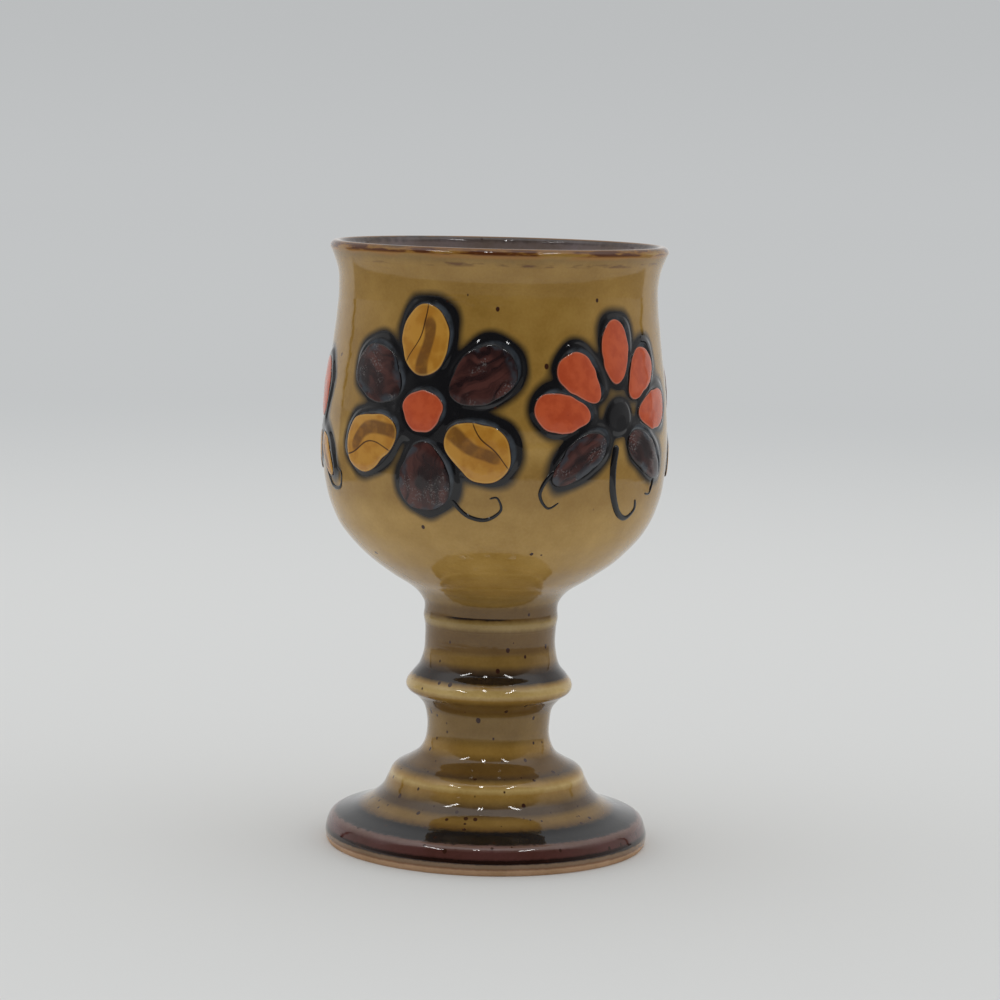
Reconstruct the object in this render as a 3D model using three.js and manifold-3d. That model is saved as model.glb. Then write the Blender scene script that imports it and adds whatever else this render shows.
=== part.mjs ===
// A stoneware goblet: a thrown bowl with an everted lip, luted with slip to a hollow turned pedestal
// (stem, knop ring, stepped foot), with a painted band of raised slip and enamel round the belly.
// Millimetres, +Z up, origin at the centre of the foot's resting plane, front of the pot towards -Y.

import * as THREE from 'three';
import { mergeVertices } from 'three/addons/utils/BufferGeometryUtils.js';
import Module from 'manifold-3d';

const wasm = await Module();
wasm.setup();

// Driving dimensions
const HEIGHT = 140;
const BELLY_RADIUS = 39.8;
const LIP_RADIUS = 38.95;
const LIP_ROUND = 1.45;
const SEAM_Z = 54;
const STEM_TOP_RADIUS = 15.5;
const BORE_RADIUS = 9.6;
const FOOT_RING_INNER_RADIUS = 30.5;
const FOOT_RING_OUTER_RADIUS = 37;

// Facets: sides of a turned piece, and how far one chord of a profile may turn or run
const ROUND_SEGMENTS = 48;
const CHORD_TURN = THREE.MathUtils.degToRad(14);
const CHORD_RUN = 8;

// The bowl-to-pedestal joint: a spigot on the bowl drops into the stem's bore, and a ring of slip
// bonds the two shoulders and swells a little past them.
const SLIP_THICKNESS = 0.9;
const SLIP_SWELL = 0.3;
const SPIGOT_DEPTH = 2.4;
const SPIGOT_CLEARANCE = 0.4;
const TOUCH_GAP = 0.1;

// The painted band: dark slip grounds on the bowl, enamel pads crowned over the grounds
const BAND_LOW_Z = 71;
const BAND_HIGH_Z = 134;
const BAND_REPEATS = 2;
const FLOWER_AZIMUTH = -24;
const SPRIG_AZIMUTH = 43;
const BUD_AZIMUTH = 100;
const GROUND_LIFT = 0.08;
const GROUND_THICKNESS = 0.2;
const GROUND_MARGIN = 1.8;
const GROUND_SIDES = 40;
const PAD_LIFT = 0.46;
const PAD_EDGE = 0.2;
const PAD_SHOULDER = 0.4;
const PAD_CROWN = 0.45;
const PAD_SHOULDER_SHARE = 0.6;
const PAD_SIDES = 12;
const STALK_RADIUS = 0.5;

// Profiles as [radius, height] stations, each run through by a smooth curve
const BOWL_OUTSIDE = [
  [STEM_TOP_RADIUS, SEAM_Z + SLIP_THICKNESS / 2],
  [15.8, 57],
  [18.3, 60],
  [23.9, 63.6],
  [29.7, 68],
  [35.1, 74],
  [38.1, 80.4],
  [39.5, 87.2],
  [BELLY_RADIUS, 96],
  [39.15, 107],
  [37.8, 117.5],
  [36.8, 127.5],
  [37.1, 133.5],
  [LIP_RADIUS, HEIGHT - LIP_ROUND],
];
const BOWL_INSIDE = [
  [LIP_RADIUS - 2 * LIP_ROUND, HEIGHT - LIP_ROUND],
  [34.4, 133],
  [34, 127],
  [34.8, 117.5],
  [36, 107],
  [36.4, 96],
  [35.5, 86],
  [32.5, 77],
  [26.8, 69.6],
  [18, 64.4],
  [9, 61.6],
  [0, 60.8],
];
const PEDESTAL_OUTSIDE = [
  [FOOT_RING_OUTER_RADIUS, 0],
  [37.5, 1],
  [37.6, 2.8],
  [36.9, 5],
  [34.4, 6.8],
  [30.8, 8.1],
  [27.2, 10],
  [24.6, 12.4],
  [23.2, 15],
  [21.9, 17.5],
  [18.8, 19.3],
  [16.1, 21.2],
  [14.65, 23.9],
  [14.25, 27.4],
  [14.9, 31.8],
  [16.9, 34.4],
  [19, 36],
  [19.35, 37.8],
  [18, 39.8],
  [16.3, 42],
  [15.35, 45.4],
  [15.2, 49.4],
  [STEM_TOP_RADIUS, SEAM_Z - SLIP_THICKNESS / 2],
];
const PEDESTAL_INSIDE = [
  [BORE_RADIUS, 26],
  [11, 20.4],
  [15.2, 15.8],
  [18.4, 10.8],
  [22.8, 6],
  [28.2, 3.7],
  [FOOT_RING_INNER_RADIUS, 0],
];

// Shapes painted in the band. Each pad is an egg set at a distance from its motif's middle. Its fullness
// moves its width outwards, or inwards where it is negative.
const PETAL = { distance: 15.2, halfLength: 8, halfWidth: 6.1, fullness: 0.14 };
const BUTTON = { distance: 0, halfLength: 4.9, halfWidth: 4.7, fullness: 0, direction: 0 };
const DROP = { distance: 14.4, halfLength: 6.9, halfWidth: 4.4, fullness: 0.2 };
const LEAF = { distance: 13.4, halfLength: 8.4, halfWidth: 3.9, fullness: -0.1 };
const BUD_DROP = { distance: 8.4, halfLength: 7, halfWidth: 4.8, fullness: 0.2 };
const BUD_LEAF = { distance: 8, halfLength: 5.8, halfWidth: 2.7, fullness: -0.1 };

// Motifs: the height of the middle, the ground's least radius round it, and the pads
const FLOWER = { z: 104, hubRadius: 9, petals: fan(PETAL, [90, 150, 210, 270, 330, 30]), button: BUTTON };
const SPRIG = {
  z: 102,
  hubRadius: 4.5,
  drops: fan(DROP, [6, 48, 90, 132, 174]),
  leaves: fan(LEAF, [-38, -142]),
};
const BUD = { z: 98, hubRadius: 3, drops: fan(BUD_DROP, [90]), leaves: fan(BUD_LEAF, [-52, -128]) };

// The sprig's stalk as [across, height] points
const STALK = [[0, 96.8], [-0.6, 91], [0.9, 84.5], [4.6, 79.5], [8.4, 80.6]];

const material = (color, roughness) => new THREE.MeshStandardMaterial({ color, roughness, metalness: 0 });
const HONEY_GLAZE = material(0x97743a, 0.15);
const RAW_SLIP = material(0xa8906a, 0.35);
const DARK_SLIP = material(0x17171b, 0.3);
const AMBER = material(0xb57526, 0.2);
const AUBERGINE = material(0x3a2324, 0.3);
const ORANGE = material(0xb5492a, 0.25);

// Close samples of a smooth curve through the stations, each with the way it heads.
function smoothCurve(stations) {
  const curve = new THREE.SplineCurve(stations.map(([r, z]) => new THREE.Vector2(r, z)));
  const steps = 24 * (stations.length - 1);
  return Array.from({ length: steps + 1 }, (_, i) => ({
    at: curve.getPoint(i / steps),
    heading: curve.getTangent(i / steps),
  }));
}

// The same curve cut into chords that turn and run no further than the limits.
function smoothRun(stations) {
  const [first, ...rest] = smoothCurve(stations);
  const kept = [first];
  for (const spot of rest.slice(0, -1)) {
    const last = kept.at(-1);
    const turned = last.heading.angleTo(spot.heading) > CHORD_TURN;
    if (turned || last.at.distanceTo(spot.at) > CHORD_RUN) kept.push(spot);
  }
  return [...kept, rest.at(-1)].map((spot) => spot.at);
}

// A closed profile of (radius, height) points turned about the Z axis.
function turnedPiece(points) {
  const profile = points.map((p) => new THREE.Vector2(Math.max(p.x, 0), p.y));
  return new THREE.LatheGeometry(profile, ROUND_SEGMENTS).rotateX(Math.PI / 2);
}

const BOWL_CURVE = smoothCurve(BOWL_OUTSIDE);
const BOWL_CHORDS = smoothRun(BOWL_OUTSIDE);

// The bowl: outside from the seat up, over the rounded lip, and down the inside to the axis.
function bowl() {
  const lipCentre = new THREE.Vector2(LIP_RADIUS - LIP_ROUND, HEIGHT - LIP_ROUND);
  const lip = new THREE.EllipseCurve(lipCentre.x, lipCentre.y, LIP_ROUND, LIP_ROUND, 0, Math.PI);
  const seat = SEAM_Z + SLIP_THICKNESS / 2;
  const spigotRadius = BORE_RADIUS - SPIGOT_CLEARANCE;
  return turnedPiece([
    new THREE.Vector2(0, seat - SPIGOT_DEPTH),
    new THREE.Vector2(spigotRadius, seat - SPIGOT_DEPTH),
    new THREE.Vector2(spigotRadius, seat),
    ...BOWL_CHORDS,
    ...lip.getPoints(4).slice(1, -1),
    ...smoothRun(BOWL_INSIDE),
  ]);
}

// The pedestal: outside from the foot ring up, across the stem's top, and down the bore and hollow foot.
function pedestal() {
  const outside = smoothRun(PEDESTAL_OUTSIDE);
  const boreTop = new THREE.Vector2(BORE_RADIUS, outside.at(-1).y);
  return turnedPiece([...outside, boreTop, ...smoothRun(PEDESTAL_INSIDE), outside[0]]);
}

// The ring of slip squeezed between the two, with a low bead where it swells out.
function lutingSlip() {
  const low = SEAM_Z - SLIP_THICKNESS / 2 + TOUCH_GAP;
  const high = SEAM_Z + SLIP_THICKNESS / 2 - TOUCH_GAP;
  const inner = BORE_RADIUS + TOUCH_GAP;
  return turnedPiece([
    new THREE.Vector2(inner, low),
    new THREE.Vector2(STEM_TOP_RADIUS, low),
    new THREE.Vector2(STEM_TOP_RADIUS + SLIP_SWELL, SEAM_Z),
    new THREE.Vector2(STEM_TOP_RADIUS, high),
    new THREE.Vector2(inner, high),
    new THREE.Vector2(inner, low),
  ]);
}

// The painter's hand: a small swing that differs from piece to piece.
function byHand(i, amount) {
  return amount * Math.sin(2.4 * i + 0.7);
}

// Copies of a pad shape that point away from the motif's middle, at angles in degrees.
function fan(shape, angles) {
  return angles.map((angle, i) => {
    const size = 1 + byHand(i + 1, 0.05);
    return {
      ...shape,
      direction: THREE.MathUtils.degToRad(angle + byHand(i, 3)),
      distance: size * shape.distance,
      halfLength: size * shape.halfLength,
    };
  });
}

// The bowl's outside at a height: its radius, and its outward normal.
function skinAt(z) {
  const i = Math.max(1, BOWL_CURVE.findIndex(({ at }) => at.y >= z));
  const [a, b] = [BOWL_CURVE[i - 1], BOWL_CURVE[i]];
  const radius = THREE.MathUtils.mapLinear(z, a.at.y, b.at.y, a.at.x, b.at.x);
  return { radius, normal: new THREE.Vector2(b.heading.y, -b.heading.x) };
}

// A point lifted off the bowl. Azimuth is in radians from -Y towards +X, across is in mm round the belly.
function onBowl(azimuth, across, z, lift) {
  const { radius, normal } = skinAt(z);
  const angle = azimuth + across / BELLY_RADIUS;
  const r = radius + lift * normal.x;
  return new THREE.Vector3(r * Math.sin(angle), -r * Math.cos(angle), z + lift * normal.y);
}

// An egg's reach from its centre to its edge, at an angle from its long axis.
function eggReach(pad, angle) {
  const width = pad.halfWidth * (1 + pad.fullness * Math.cos(angle));
  return (pad.halfLength * width) / Math.hypot(width * Math.cos(angle), pad.halfLength * Math.sin(angle));
}

// Rings of points joined side to side and closed by a point at each end, underside first.
function closedLoft(start, rings, end) {
  const sides = rings[0].length;
  const points = [start, ...rings.flat(), end];
  const at = (ring, side) => 1 + ring * sides + (side % sides);
  const faces = [];
  for (let side = 0; side < sides; side++) {
    faces.push([0, at(0, side + 1), at(0, side)]);
    for (let ring = 1; ring < rings.length; ring++) {
      const [a, b] = [at(ring - 1, side), at(ring - 1, side + 1)];
      const [c, d] = [at(ring, side), at(ring, side + 1)];
      faces.push([a, b, d], [a, d, c]);
    }
    faces.push([points.length - 1, at(rings.length - 1, side), at(rings.length - 1, side + 1)]);
  }
  return new THREE.BufferGeometry().setFromPoints(points).setIndex(faces.flat());
}

// An enamel pad that follows the bowl, with a low edge and a crowned top.
function enamelPad(azimuth, motif, pad) {
  const spot = (angle, share, lift) => {
    const reach = share * eggReach(pad, angle);
    const across = pad.distance * Math.cos(pad.direction) + reach * Math.cos(pad.direction + angle);
    const up = pad.distance * Math.sin(pad.direction) + reach * Math.sin(pad.direction + angle);
    return onBowl(azimuth, across, motif.z + up, lift);
  };
  const ring = (share, lift) =>
    Array.from({ length: PAD_SIDES }, (_, side) => spot((side / PAD_SIDES) * 2 * Math.PI, share, lift));
  const rings = [
    ring(PAD_SHOULDER_SHARE, PAD_LIFT),
    ring(1, PAD_LIFT),
    ring(1, PAD_LIFT + PAD_EDGE),
    ring(PAD_SHOULDER_SHARE, PAD_LIFT + PAD_SHOULDER),
  ];
  return closedLoft(spot(0, 0, PAD_LIFT), rings, spot(0, 0, PAD_LIFT + PAD_CROWN));
}

// How far a ray from the motif's middle runs before it leaves a pad grown by the ground's margin.
function groundReach(pad, direction) {
  const [length, width] = [pad.halfLength + GROUND_MARGIN, pad.halfWidth + GROUND_MARGIN];
  const along = Math.cos(direction - pad.direction) / length;
  const aside = Math.sin(direction - pad.direction) / width;
  const offset = pad.distance / length;
  const slope = along ** 2 + aside ** 2;
  const root = (along * offset) ** 2 - slope * (offset ** 2 - 1);
  return root > 0 ? (along * offset + Math.sqrt(root)) / slope : 0;
}

// A geometry as a solid for cutting, and a solid back as a geometry.
function solidOf(geometry) {
  const bare = geometry.clone();
  bare.deleteAttribute('normal');
  bare.deleteAttribute('uv');
  const merged = mergeVertices(bare, 1e-4);
  const vertProperties = merged.attributes.position.array;
  return new wasm.Manifold(new wasm.Mesh({
    numProp: 3, vertProperties, triVerts: new Uint32Array(merged.index.array),
  }));
}
function geometryOf(body) {
  const { vertProperties, triVerts } = body.getMesh();
  return new THREE.BufferGeometry()
    .setAttribute('position', new THREE.BufferAttribute(new Float32Array(vertProperties), 3))
    .setIndex(new THREE.BufferAttribute(new Uint32Array(triVerts), 1));
}

// A thin coat of slip all round the band, chord for chord with the bowl under it.
function bandCoat() {
  const heights = BOWL_CHORDS.map((p) => p.y).filter((z) => z > BAND_LOW_Z && z < BAND_HIGH_Z);
  const layer = (lift) => heights.map((z) => {
    const { radius, normal } = skinAt(z);
    return new THREE.Vector2(radius + lift * normal.x, z + lift * normal.y);
  });
  const inner = layer(GROUND_LIFT);
  const outer = layer(GROUND_LIFT + GROUND_THICKNESS);
  return solidOf(turnedPiece([...outer, ...inner.reverse(), outer[0]]));
}

// A motif's slip ground: the coat cut to the lobed outline that surrounds the motif's pads.
function slipGround(coat, azimuth, motif, pads) {
  const outline = Array.from({ length: GROUND_SIDES }, (_, side) => {
    const direction = (side / GROUND_SIDES) * 2 * Math.PI;
    const reach = Math.max(motif.hubRadius, ...pads.map((pad) => groundReach(pad, direction)));
    // What is drawn round the belly is narrower in the flat outline that cuts it.
    const flat = BELLY_RADIUS * Math.sin((reach * Math.cos(direction)) / BELLY_RADIUS);
    return new THREE.Vector2(flat, reach * Math.sin(direction));
  });
  const depth = BELLY_RADIUS + 5;
  const cutter = new THREE.ExtrudeGeometry(new THREE.Shape(outline), { depth, bevelEnabled: false });
  cutter.rotateX(Math.PI / 2).translate(0, 0, motif.z).rotateZ(azimuth);
  return geometryOf(coat.intersect(solidOf(cutter)));
}

// A sprig's stalk: one rounded trail of slip along its points.
function stalk(azimuth) {
  const points = STALK.map(([across, z]) => onBowl(azimuth, across, z, STALK_RADIUS + GROUND_LIFT));
  const section = new THREE.Shape().absarc(0, 0, STALK_RADIUS, 0, 2 * Math.PI);
  const extrudePath = new THREE.CatmullRomCurve3(points);
  return new THREE.ExtrudeGeometry(section, { curveSegments: 3, steps: 9, bevelEnabled: false, extrudePath });
}

const goblet = new THREE.Group();

function add(name, geometry, colour) {
  const mesh = new THREE.Mesh(geometry, colour);
  mesh.name = name;
  goblet.add(mesh);
}

function addPads(name, azimuth, motif, pads, colours) {
  pads.forEach((pad, i) =>
    add(`${name}_${i + 1}`, enamelPad(azimuth, motif, pad), colours[i % colours.length]));
}

add('bowl', bowl(), HONEY_GLAZE);
add('luting_slip', lutingSlip(), RAW_SLIP);
add('pedestal', pedestal(), HONEY_GLAZE);

const coat = bandCoat();
for (let n = 1; n <= BAND_REPEATS; n++) {
  const turn = ((n - 1) * 360) / BAND_REPEATS;
  const flowerAt = THREE.MathUtils.degToRad(FLOWER_AZIMUTH + turn);
  const sprigAt = THREE.MathUtils.degToRad(SPRIG_AZIMUTH + turn);
  const budAt = THREE.MathUtils.degToRad(BUD_AZIMUTH + turn);

  add(`flower_${n}_slip_ground`, slipGround(coat, flowerAt, FLOWER, FLOWER.petals), DARK_SLIP);
  add(`flower_${n}_button`, enamelPad(flowerAt, FLOWER, FLOWER.button), ORANGE);
  addPads(`flower_${n}_petal`, flowerAt, FLOWER, FLOWER.petals, [AMBER, AUBERGINE]);

  const sprigPads = [...SPRIG.drops, ...SPRIG.leaves];
  add(`sprig_${n}_slip_ground`, slipGround(coat, sprigAt, SPRIG, sprigPads), DARK_SLIP);
  add(`sprig_${n}_stalk`, stalk(sprigAt), DARK_SLIP);
  addPads(`sprig_${n}_drop`, sprigAt, SPRIG, SPRIG.drops, [ORANGE]);
  addPads(`sprig_${n}_leaf`, sprigAt, SPRIG, SPRIG.leaves, [AUBERGINE]);

  add(`bud_${n}_slip_ground`, slipGround(coat, budAt, BUD, [...BUD.drops, ...BUD.leaves]), DARK_SLIP);
  addPads(`bud_${n}_drop`, budAt, BUD, BUD.drops, [ORANGE]);
  addPads(`bud_${n}_leaf`, budAt, BUD, BUD.leaves, [AMBER]);
}

export default goblet;
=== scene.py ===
import math
from dataclasses import dataclass, replace

import bpy
import numpy as np
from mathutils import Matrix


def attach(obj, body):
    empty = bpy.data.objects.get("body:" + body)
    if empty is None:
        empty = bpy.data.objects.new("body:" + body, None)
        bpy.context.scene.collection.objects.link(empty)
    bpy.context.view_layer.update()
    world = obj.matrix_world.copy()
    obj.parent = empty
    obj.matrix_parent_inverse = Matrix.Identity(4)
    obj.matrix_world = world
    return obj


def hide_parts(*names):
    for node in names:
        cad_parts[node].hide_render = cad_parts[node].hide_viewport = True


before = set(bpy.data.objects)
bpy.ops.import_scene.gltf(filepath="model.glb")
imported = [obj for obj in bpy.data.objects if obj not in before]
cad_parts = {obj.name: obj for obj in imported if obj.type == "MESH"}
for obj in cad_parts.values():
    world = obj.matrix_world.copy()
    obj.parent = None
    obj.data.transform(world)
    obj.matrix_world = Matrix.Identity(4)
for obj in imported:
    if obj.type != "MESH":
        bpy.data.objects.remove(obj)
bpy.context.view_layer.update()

BODY = "root"

# Sizes are in millimetres, as in the part's source. Meshes are scaled to metres when they are made.
MM = 0.001
HEIGHT = 140.0
BELLY_RADIUS = 39.8
LIP_RADIUS = 38.95
LIP_ROUND = 1.45
STEM_TOP_RADIUS = 15.5
SEAM_Z = 54.0
SLIP_THICKNESS = 0.9
BORE_RADIUS = 9.6
SPIGOT_DEPTH = 2.4
SPIGOT_CLEARANCE = 0.4
BEAD_CLEARANCE = 0.5
FOOT_RING_OUTER_RADIUS = 37.0
FOOT_RING_INNER_RADIUS = 30.5

# Radius and height of the stations that each wall line runs through.
BOWL_OUTSIDE = [
    [STEM_TOP_RADIUS, SEAM_Z + SLIP_THICKNESS / 2], [15.8, 57], [18.3, 60], [23.9, 63.6], [29.7, 68],
    [35.1, 74], [38.1, 80.4], [39.5, 87.2], [BELLY_RADIUS, 96], [39.15, 107], [37.8, 117.5], [36.8, 127.5],
    [37.1, 133.5], [LIP_RADIUS, HEIGHT - LIP_ROUND],
]
BOWL_INSIDE = [
    [LIP_RADIUS - 2 * LIP_ROUND, HEIGHT - LIP_ROUND], [34.4, 133], [34, 127], [34.8, 117.5], [36, 107],
    [36.4, 96], [35.5, 86], [32.5, 77], [26.8, 69.6], [18, 64.4], [9, 61.6], [0, 60.8],
]
PEDESTAL_OUTSIDE = [
    [FOOT_RING_OUTER_RADIUS, 0], [37.5, 1], [37.6, 2.8], [37.1, 4.7], [36.6, 5.8], [35.8, 6.45], [34.2, 6.95],
    [30.8, 8.1], [27.2, 10], [24.6, 12.4], [23.2, 15], [21.9, 17.5], [18.8, 19.3], [16.1, 21.2],
    [14.65, 23.9], [14.25, 27.4], [14.9, 31.8], [16.9, 34.4], [19, 36], [19.35, 37.8], [18, 39.8],
    [16.3, 42], [15.35, 45.4], [15.2, 49.4], [STEM_TOP_RADIUS, SEAM_Z - SLIP_THICKNESS / 2],
]
PEDESTAL_INSIDE = [
    [BORE_RADIUS, 26], [11, 20.4], [15.2, 15.8], [18.4, 10.8], [22.8, 6], [28.2, 3.7],
    [FOOT_RING_INNER_RADIUS, 0],
]
BORE_RINGS = [44, 35]
BEAD_OUTSIDE = [
    [15.1, 50.2], [15.34, 51.4], [15.58, 52.6], [15.66, 53.3], [15.57, 54.2], [15.46, 54.9], [15.2, 55.6],
]
BEAD_INSIDE = [
    [14.6, 55.4], [BORE_RADIUS + BEAD_CLEARANCE, 54.4], [BORE_RADIUS + BEAD_CLEARANCE, 53.6], [14.6, 51.4],
]

# How finely the turned bodies are divided, round the axis and along their lines.
SEGMENTS = 480
SPLINE_FINE = 24
SKIN_STEPS = 1200
BOWL_STEPS = 150
PEDESTAL_STEPS = 140
BEAD_STEPS = 40
INSIDE_STEPS = 40
LIP_STEPS = 14
CREASE = 40

# Ridges that the potter's fingers leave: two spiral waves that cross, the second one weaker. The rates are
# radians per millimetre of height. Close to the axis the ridges fade out.
BOWL_RIDGES = 0.02
PEDESTAL_RIDGES = 0.025
BEAD_RIDGES = 0.02
RIDGE_RATE = 1.15
CROSSING_RATE = 0.47
CROSSING_START = 1.3
CROSSING_SHARE = 0.6
RIDGE_FULL_RADIUS = 10

# The painted band. Azimuths are degrees from the front towards +X; across is arc length on the belly.
BAND_REPEATS = 2
SIZE_VARIES = 0.05
DIRECTION_VARIES = 3


@dataclass(frozen=True)
class Pad:
    """An egg-shaped pad of enamel, at a distance from its motif's centre. Its direction is in radians."""

    distance: float
    half_length: float
    half_width: float
    fullness: float
    direction: float = 0.0


@dataclass(frozen=True)
class Motif:
    """Pads round a centre on the belly, each with its enamel, and tendrils of slip trailed beside them."""

    name: str
    azimuth: float
    z: float
    hub_radius: float
    pads: dict
    tendrils: list


PETAL = Pad(15.2, 8, 6.1, 0.14)
BUTTON = Pad(0, 4.9, 4.7, 0)
DROP = Pad(14.4, 6.9, 4.4, 0.2)
LEAF = Pad(13.4, 8.4, 3.9, -0.1)
BUD_DROP = Pad(8.4, 7, 4.8, 0.2)
BUD_LEAF = Pad(8, 5.8, 2.7, -0.1)
STALK = [[0, 96.8], [-0.9, 91.5], [-0.3, 86], [2.2, 81.6], [5.8, 79.8], [8.6, 81.6], [8, 84]]


def by_hand(i, amount):
    """A small uneven amount, as a hand gives."""
    return amount * math.sin(2.4 * i + 0.7)


def fan(shape, angles):
    """Copies of a pad turned to the angles, each a little different in length and direction."""
    pads = []
    for i, angle in enumerate(angles):
        size = 1 + by_hand(i + 1, SIZE_VARIES)
        direction = math.radians(angle + by_hand(i, DIRECTION_VARIES))
        length = shape.half_length * size
        pads.append(replace(shape, distance=shape.distance * size, half_length=length, direction=direction))
    return pads


def named(label, pads, enamels):
    """Pads by node name, each with its enamel; the enamels repeat in turn."""
    return {f"{label}_{i + 1}": (pad, enamels[i % len(enamels)]) for i, pad in enumerate(pads)}


FLOWER_PADS = {
    "button": (BUTTON, "orange"),
    **named("petal", fan(PETAL, [90, 150, 210, 270, 330, 30]), ["amber", "aubergine"]),
}
SPRIG_PADS = {
    **named("drop", fan(DROP, [6, 48, 90, 132, 174]), ["orange"]),
    **named("leaf", fan(LEAF, [-38, -142]), ["aubergine"]),
}
BUD_PADS = {
    **named("drop", fan(BUD_DROP, [90]), ["orange"]),
    **named("leaf", fan(BUD_LEAF, [-52, -128]), ["amber"]),
}

# Across and up from each motif's centre.
FLOWER_TENDRILS = [[[7, -19], [10.5, -22.6], [15, -23.6], [18.4, -21.4], [17.6, -18.6], [15.8, -18.8]]]
SPRIG_TENDRILS = [
    [[-13, -9], [-17.2, -11.4], [-19.4, -15.6], [-17.4, -18.8], [-14.8, -17.6]],
    [[12.4, -9.4], [15.4, -13], [14.6, -17], [12, -17]],
]
BUD_TENDRILS = [[[4.4, -9.6], [8, -13.4], [12.4, -13.2], [13.6, -10], [11.6, -8.8]]]

FLOWER = Motif("flower", -24, 104, 9, FLOWER_PADS, FLOWER_TENDRILS)
SPRIG = Motif("sprig", 43, 102, 4.5, SPRIG_PADS, SPRIG_TENDRILS)
BUD = Motif("bud", 100, 98, 3, BUD_PADS, BUD_TENDRILS)
MOTIFS = [FLOWER, SPRIG, BUD]

# The slip grounds: how far they reach past the pads, and how high they stand over the bowl's skin.
SLIP_MARGIN = 1.55
SLIP_SHIFT = 0.7
SLIP_BLEND = 1.4
SLIP_WAVER = 0.35
SLIP_EDGE_WIDTH = 1.5
SLIP_DROP_WIDTH = 0.8
SLIP_RISE = (-0.5, 0.6)
SLIP_CREST = 0.34
SLIP_UNDER_PAD = 0.12
SLIP_UNEVEN = 0.04
SLIP_BED = -0.25
SLIP_BOTTOM = -0.4
# How far up and to the right the painted sheen beside the pads is moved.
SHEEN_SHIFT = 0.8

# The grid that each slip ground is cut from.
PATCH_GRID = 0.25
PATCH_REACH = 27.0

# Distances that stand for no slip, and for no pad, near by.
STAIN_LIMIT = 6.0
FAR_FROM_PADS = 3.0

# The distance to a pad's rim is worked out from the slope over a short step, which is never taken as level.
PROBE = 0.05
LEAST_SLOPE = 0.02

# The enamel pads. A waver of the rim has an amount, a number of waves and a turn with the pad's direction.
PAD_RIM_LIFT = 0.24
PAD_CROWN = 0.3
PAD_BRUSHED = 0.025
PAD_SKIRT_REACH = 1.02
PAD_SKIRT_LIFT = 0.05
PAD_SIDES = 120
PAD_RINGS = 12
PAD_WAVERS = [(0.22, 3, 5), (0.12, 5, -3), (0.05, 9, 0)]
PAD_MIDDLE = 4
LEAST_SHARE = 0.05

# Lines of slip trailed from a nozzle.
TENDRIL_WIDTH = 0.95
TENDRIL_HEIGHT = 0.26
TENDRIL_LIFT = 0.02
TENDRIL_STEPS = 80
STALK_WIDTH = 1.9
STALK_HEIGHT = 0.45
STALK_STEPS = 90
TRAIL_ROOT = 0.2
TRAIL_ARC = 9
TRAIL_END = 0.45
TAPER_FROM = 0.35
END_SHARPNESS = 30


def smooth_step(low, high, value):
    """0 below low, 1 above high, and an even curve between."""
    t = np.clip((value - low) / (high - low), 0, 1)
    return t * t * (3 - 2 * t)


def ripple(amount, across, up, rates, starts):
    """Unevenness of up to that amount, in waves across and up; rates are radians per millimetre."""
    return amount * np.sin(rates[0] * across + starts[0]) * np.sin(rates[1] * up + starts[1])


def spline(stations, steps):
    """Evenly spaced points along the Catmull-Rom curve through the stations."""
    knots = np.array(stations, float)
    held = np.vstack([knots[:1], knots, knots[-1:]])
    t = np.linspace(0, 1, SPLINE_FINE, endpoint=False)[:, None]
    runs = []
    for a, b, c, d in zip(held, held[1:], held[2:], held[3:]):
        bend = (2 * a - 5 * b + 4 * c - d) * t**2
        twist = (3 * b - a - 3 * c + d) * t**3
        runs.append(0.5 * (2 * b + (c - a) * t + bend + twist))
    fine = np.vstack([*runs, knots[-1:]])
    run = np.concatenate([[0], np.cumsum(np.hypot(*np.diff(fine, axis=0).T))])
    even = np.linspace(0, run[-1], steps + 1)
    return np.column_stack([np.interp(even, run, fine[:, i]) for i in (0, 1)])


SKIN = spline(BOWL_OUTSIDE, SKIN_STEPS)
SKIN_RUN = np.gradient(SKIN, axis=0)
SKIN_NORMAL = np.column_stack([SKIN_RUN[:, 1], -SKIN_RUN[:, 0]]) / np.hypot(*SKIN_RUN.T)[:, None]


def on_bowl(azimuth, across, z, lift):
    """Points over the bowl's outside: lift is measured square to the skin at height z."""
    turn = math.radians(azimuth) + across / BELLY_RADIUS
    skin, out, rise = (np.interp(z, SKIN[:, 1], line) for line in (SKIN[:, 0], *SKIN_NORMAL.T))
    radius = skin + lift * out
    return np.stack([radius * np.sin(turn), -radius * np.cos(turn), z + lift * rise], axis=-1)


def piece(name, points, faces, material, replaced, attributes, crease=None):
    """A smooth mesh of the object, riding on its body. Points are in millimetres; crease is in degrees."""
    mesh = bpy.data.meshes.new(name)
    mesh.from_pydata((np.asarray(points) * MM).tolist(), [], faces)
    for key, values in attributes.items():
        kind, field = ("FLOAT", "value") if values.ndim == 1 else ("FLOAT_VECTOR", "vector")
        layer = mesh.attributes.new(key, kind, "POINT")
        layer.data.foreach_set(field, values.astype(np.float32).ravel())
    mesh.materials.append(material)
    mesh.shade_smooth()
    if crease:
        mesh.set_sharp_from_angle(angle=math.radians(crease))
    made = bpy.data.objects.new(name, mesh)
    bpy.context.scene.collection.objects.link(made)
    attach(made, BODY)
    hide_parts(*replaced)


def after(ring):
    """For each point of a closed ring, the one that follows it."""
    return np.roll(ring, -1, axis=-1)


def faces_of(*corners):
    """Faces from the indices of their corners, an array for each corner. A single index serves all faces."""
    return np.stack(np.broadcast_arrays(*corners), axis=-1).reshape(-1, len(corners)).tolist()


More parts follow.
